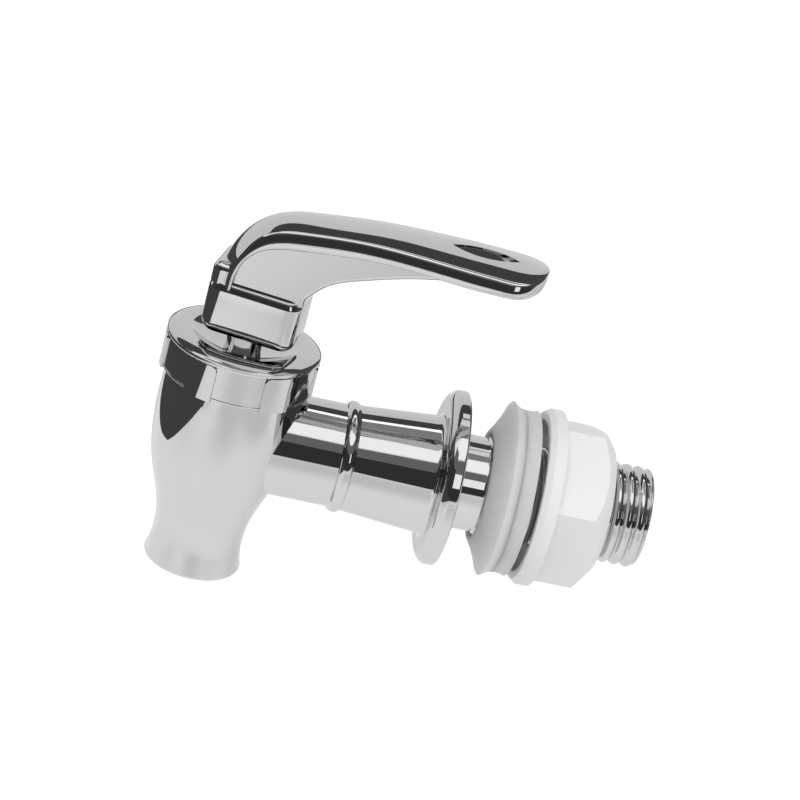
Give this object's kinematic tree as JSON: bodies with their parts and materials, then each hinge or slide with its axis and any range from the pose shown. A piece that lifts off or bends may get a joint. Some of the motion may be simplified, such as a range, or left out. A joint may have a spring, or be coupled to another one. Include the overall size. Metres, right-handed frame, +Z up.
{
  "type": "dispenser spigot",
  "caption": "Push-lever spigot for a drinks dispenser: chromed barrel and shank, screw cap with a swivelling lever, silicone washers and a lock nut on the thread.",
  "frame": {"origin": "on the shank's axis, in the plane of the flange's sealing face, where the container's outer wall sits", "axes": "+X along the shank into the container, +Z up along the barrel, towards the lever; the lever is shown swivelled 14 degrees from +X towards -Y"},
  "size_m": [0.0794, 0.03, 0.0638],
  "materials": {
    "chrome": "polished",
    "steel": "satin",
    "silicone": "satin",
    "white_plastic": "satin"
  },
  "bodies": {
    "housing": {"housing": "chrome", "bonnet": "chrome", "bonnet_gasket": "silicone", "return_spring": "steel"},
    "plug": {"seat_cup": "silicone"},
    "stem": {"stem": "chrome", "pivot_pin": "steel"},
    "lever": {"lever": "chrome"},
    "washers": {"tapered_washer": "silicone", "flat_washer": "silicone"},
    "nut": {"lock_nut": "white_plastic"}
  },
  "joints": [
    {"name": "plug_lift", "type": "slide", "parent": "housing", "child": "plug", "axis": [0, 0, 1], "range_m": [0, 0.00133], "deforming": ["return_spring"]},
    {"name": "lever_swivel", "type": "hinge", "parent": "plug", "child": "stem", "pos_m": [-0.0363, 0, 0], "axis": [0, 0, 1], "continuous": true},
    {"name": "lever_tilt", "type": "hinge", "parent": "stem", "child": "lever", "pos_m": [-0.0363, 0, 0.02175], "axis": [0.2419, 0.9703, 0], "range_deg": [0, 20], "stiffness_Nm_per_rad": 0.2, "springref_deg": -14.32},
    {"name": "washers_slide", "type": "slide", "parent": "housing", "child": "washers", "axis": [1, 0, 0], "range_m": [-0.00452, 0.00653]},
    {"name": "nut_turn", "type": "hinge", "parent": "washers", "child": "nut", "pos_m": [0, 0, 0], "axis": [1, 0, 0], "range_deg": [-855, 1235]}
  ],
  "couplings": [
    {"joint": "plug_lift", "follows": "lever_tilt", "m_per_rad": 0.00378},
    {"joint": "washers_slide", "follows": "nut_turn", "m_per_rad": 0.00030239}
  ]
}
